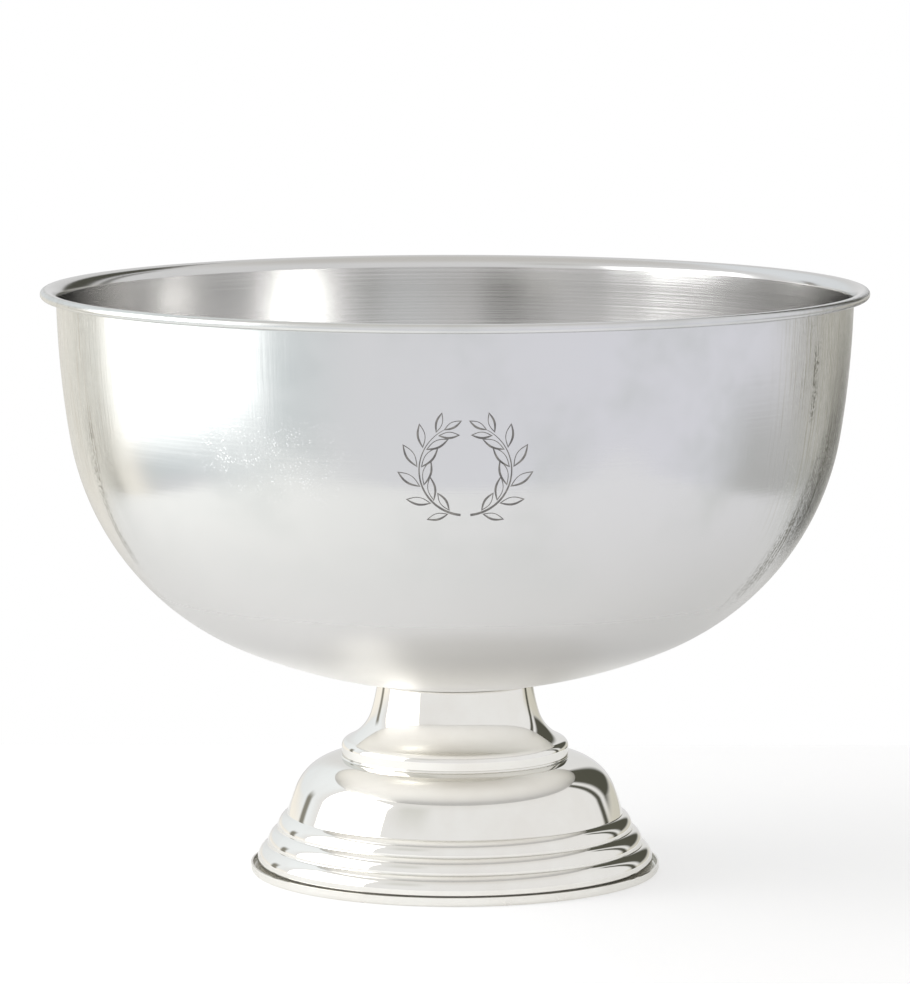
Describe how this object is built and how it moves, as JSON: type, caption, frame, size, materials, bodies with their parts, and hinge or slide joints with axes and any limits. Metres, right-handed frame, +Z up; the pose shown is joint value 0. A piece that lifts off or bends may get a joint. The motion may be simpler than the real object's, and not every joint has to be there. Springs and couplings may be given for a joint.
{
  "type": "footed champagne bucket",
  "caption": "Wide round bucket of silver-plated sheet with a flared, wire-rolled lip, joined to a spun, stepped, hollow foot; stands free and holds ice and bottles.",
  "frame": {"origin": "centre of the circle that the foot stands on", "axes": "+Z up along the axis of revolution; the engraved front faces -Y"},
  "size_m": [0.457, 0.457, 0.3255],
  "materials": {
    "bowl_silver": "silver plated, softly polished, misted with condensation",
    "foot_silver": "silver plated, mirror polished",
    "wire_steel": "drawn wire",
    "boss_brass": "turned, unplated",
    "zinc_steel": "bright zinc plated"
  },
  "bodies": {
    "root": {"bowl_shell": "bowl_silver", "rim_wire": "wire_steel", "foot_shell": "foot_silver", "locating_boss": "boss_brass", "foot_stud": "zinc_steel", "clamp_cup": "zinc_steel", "flat_washer": "zinc_steel", "spring_washer": "zinc_steel", "hex_nut": "zinc_steel"}
  },
  "joints": []
}
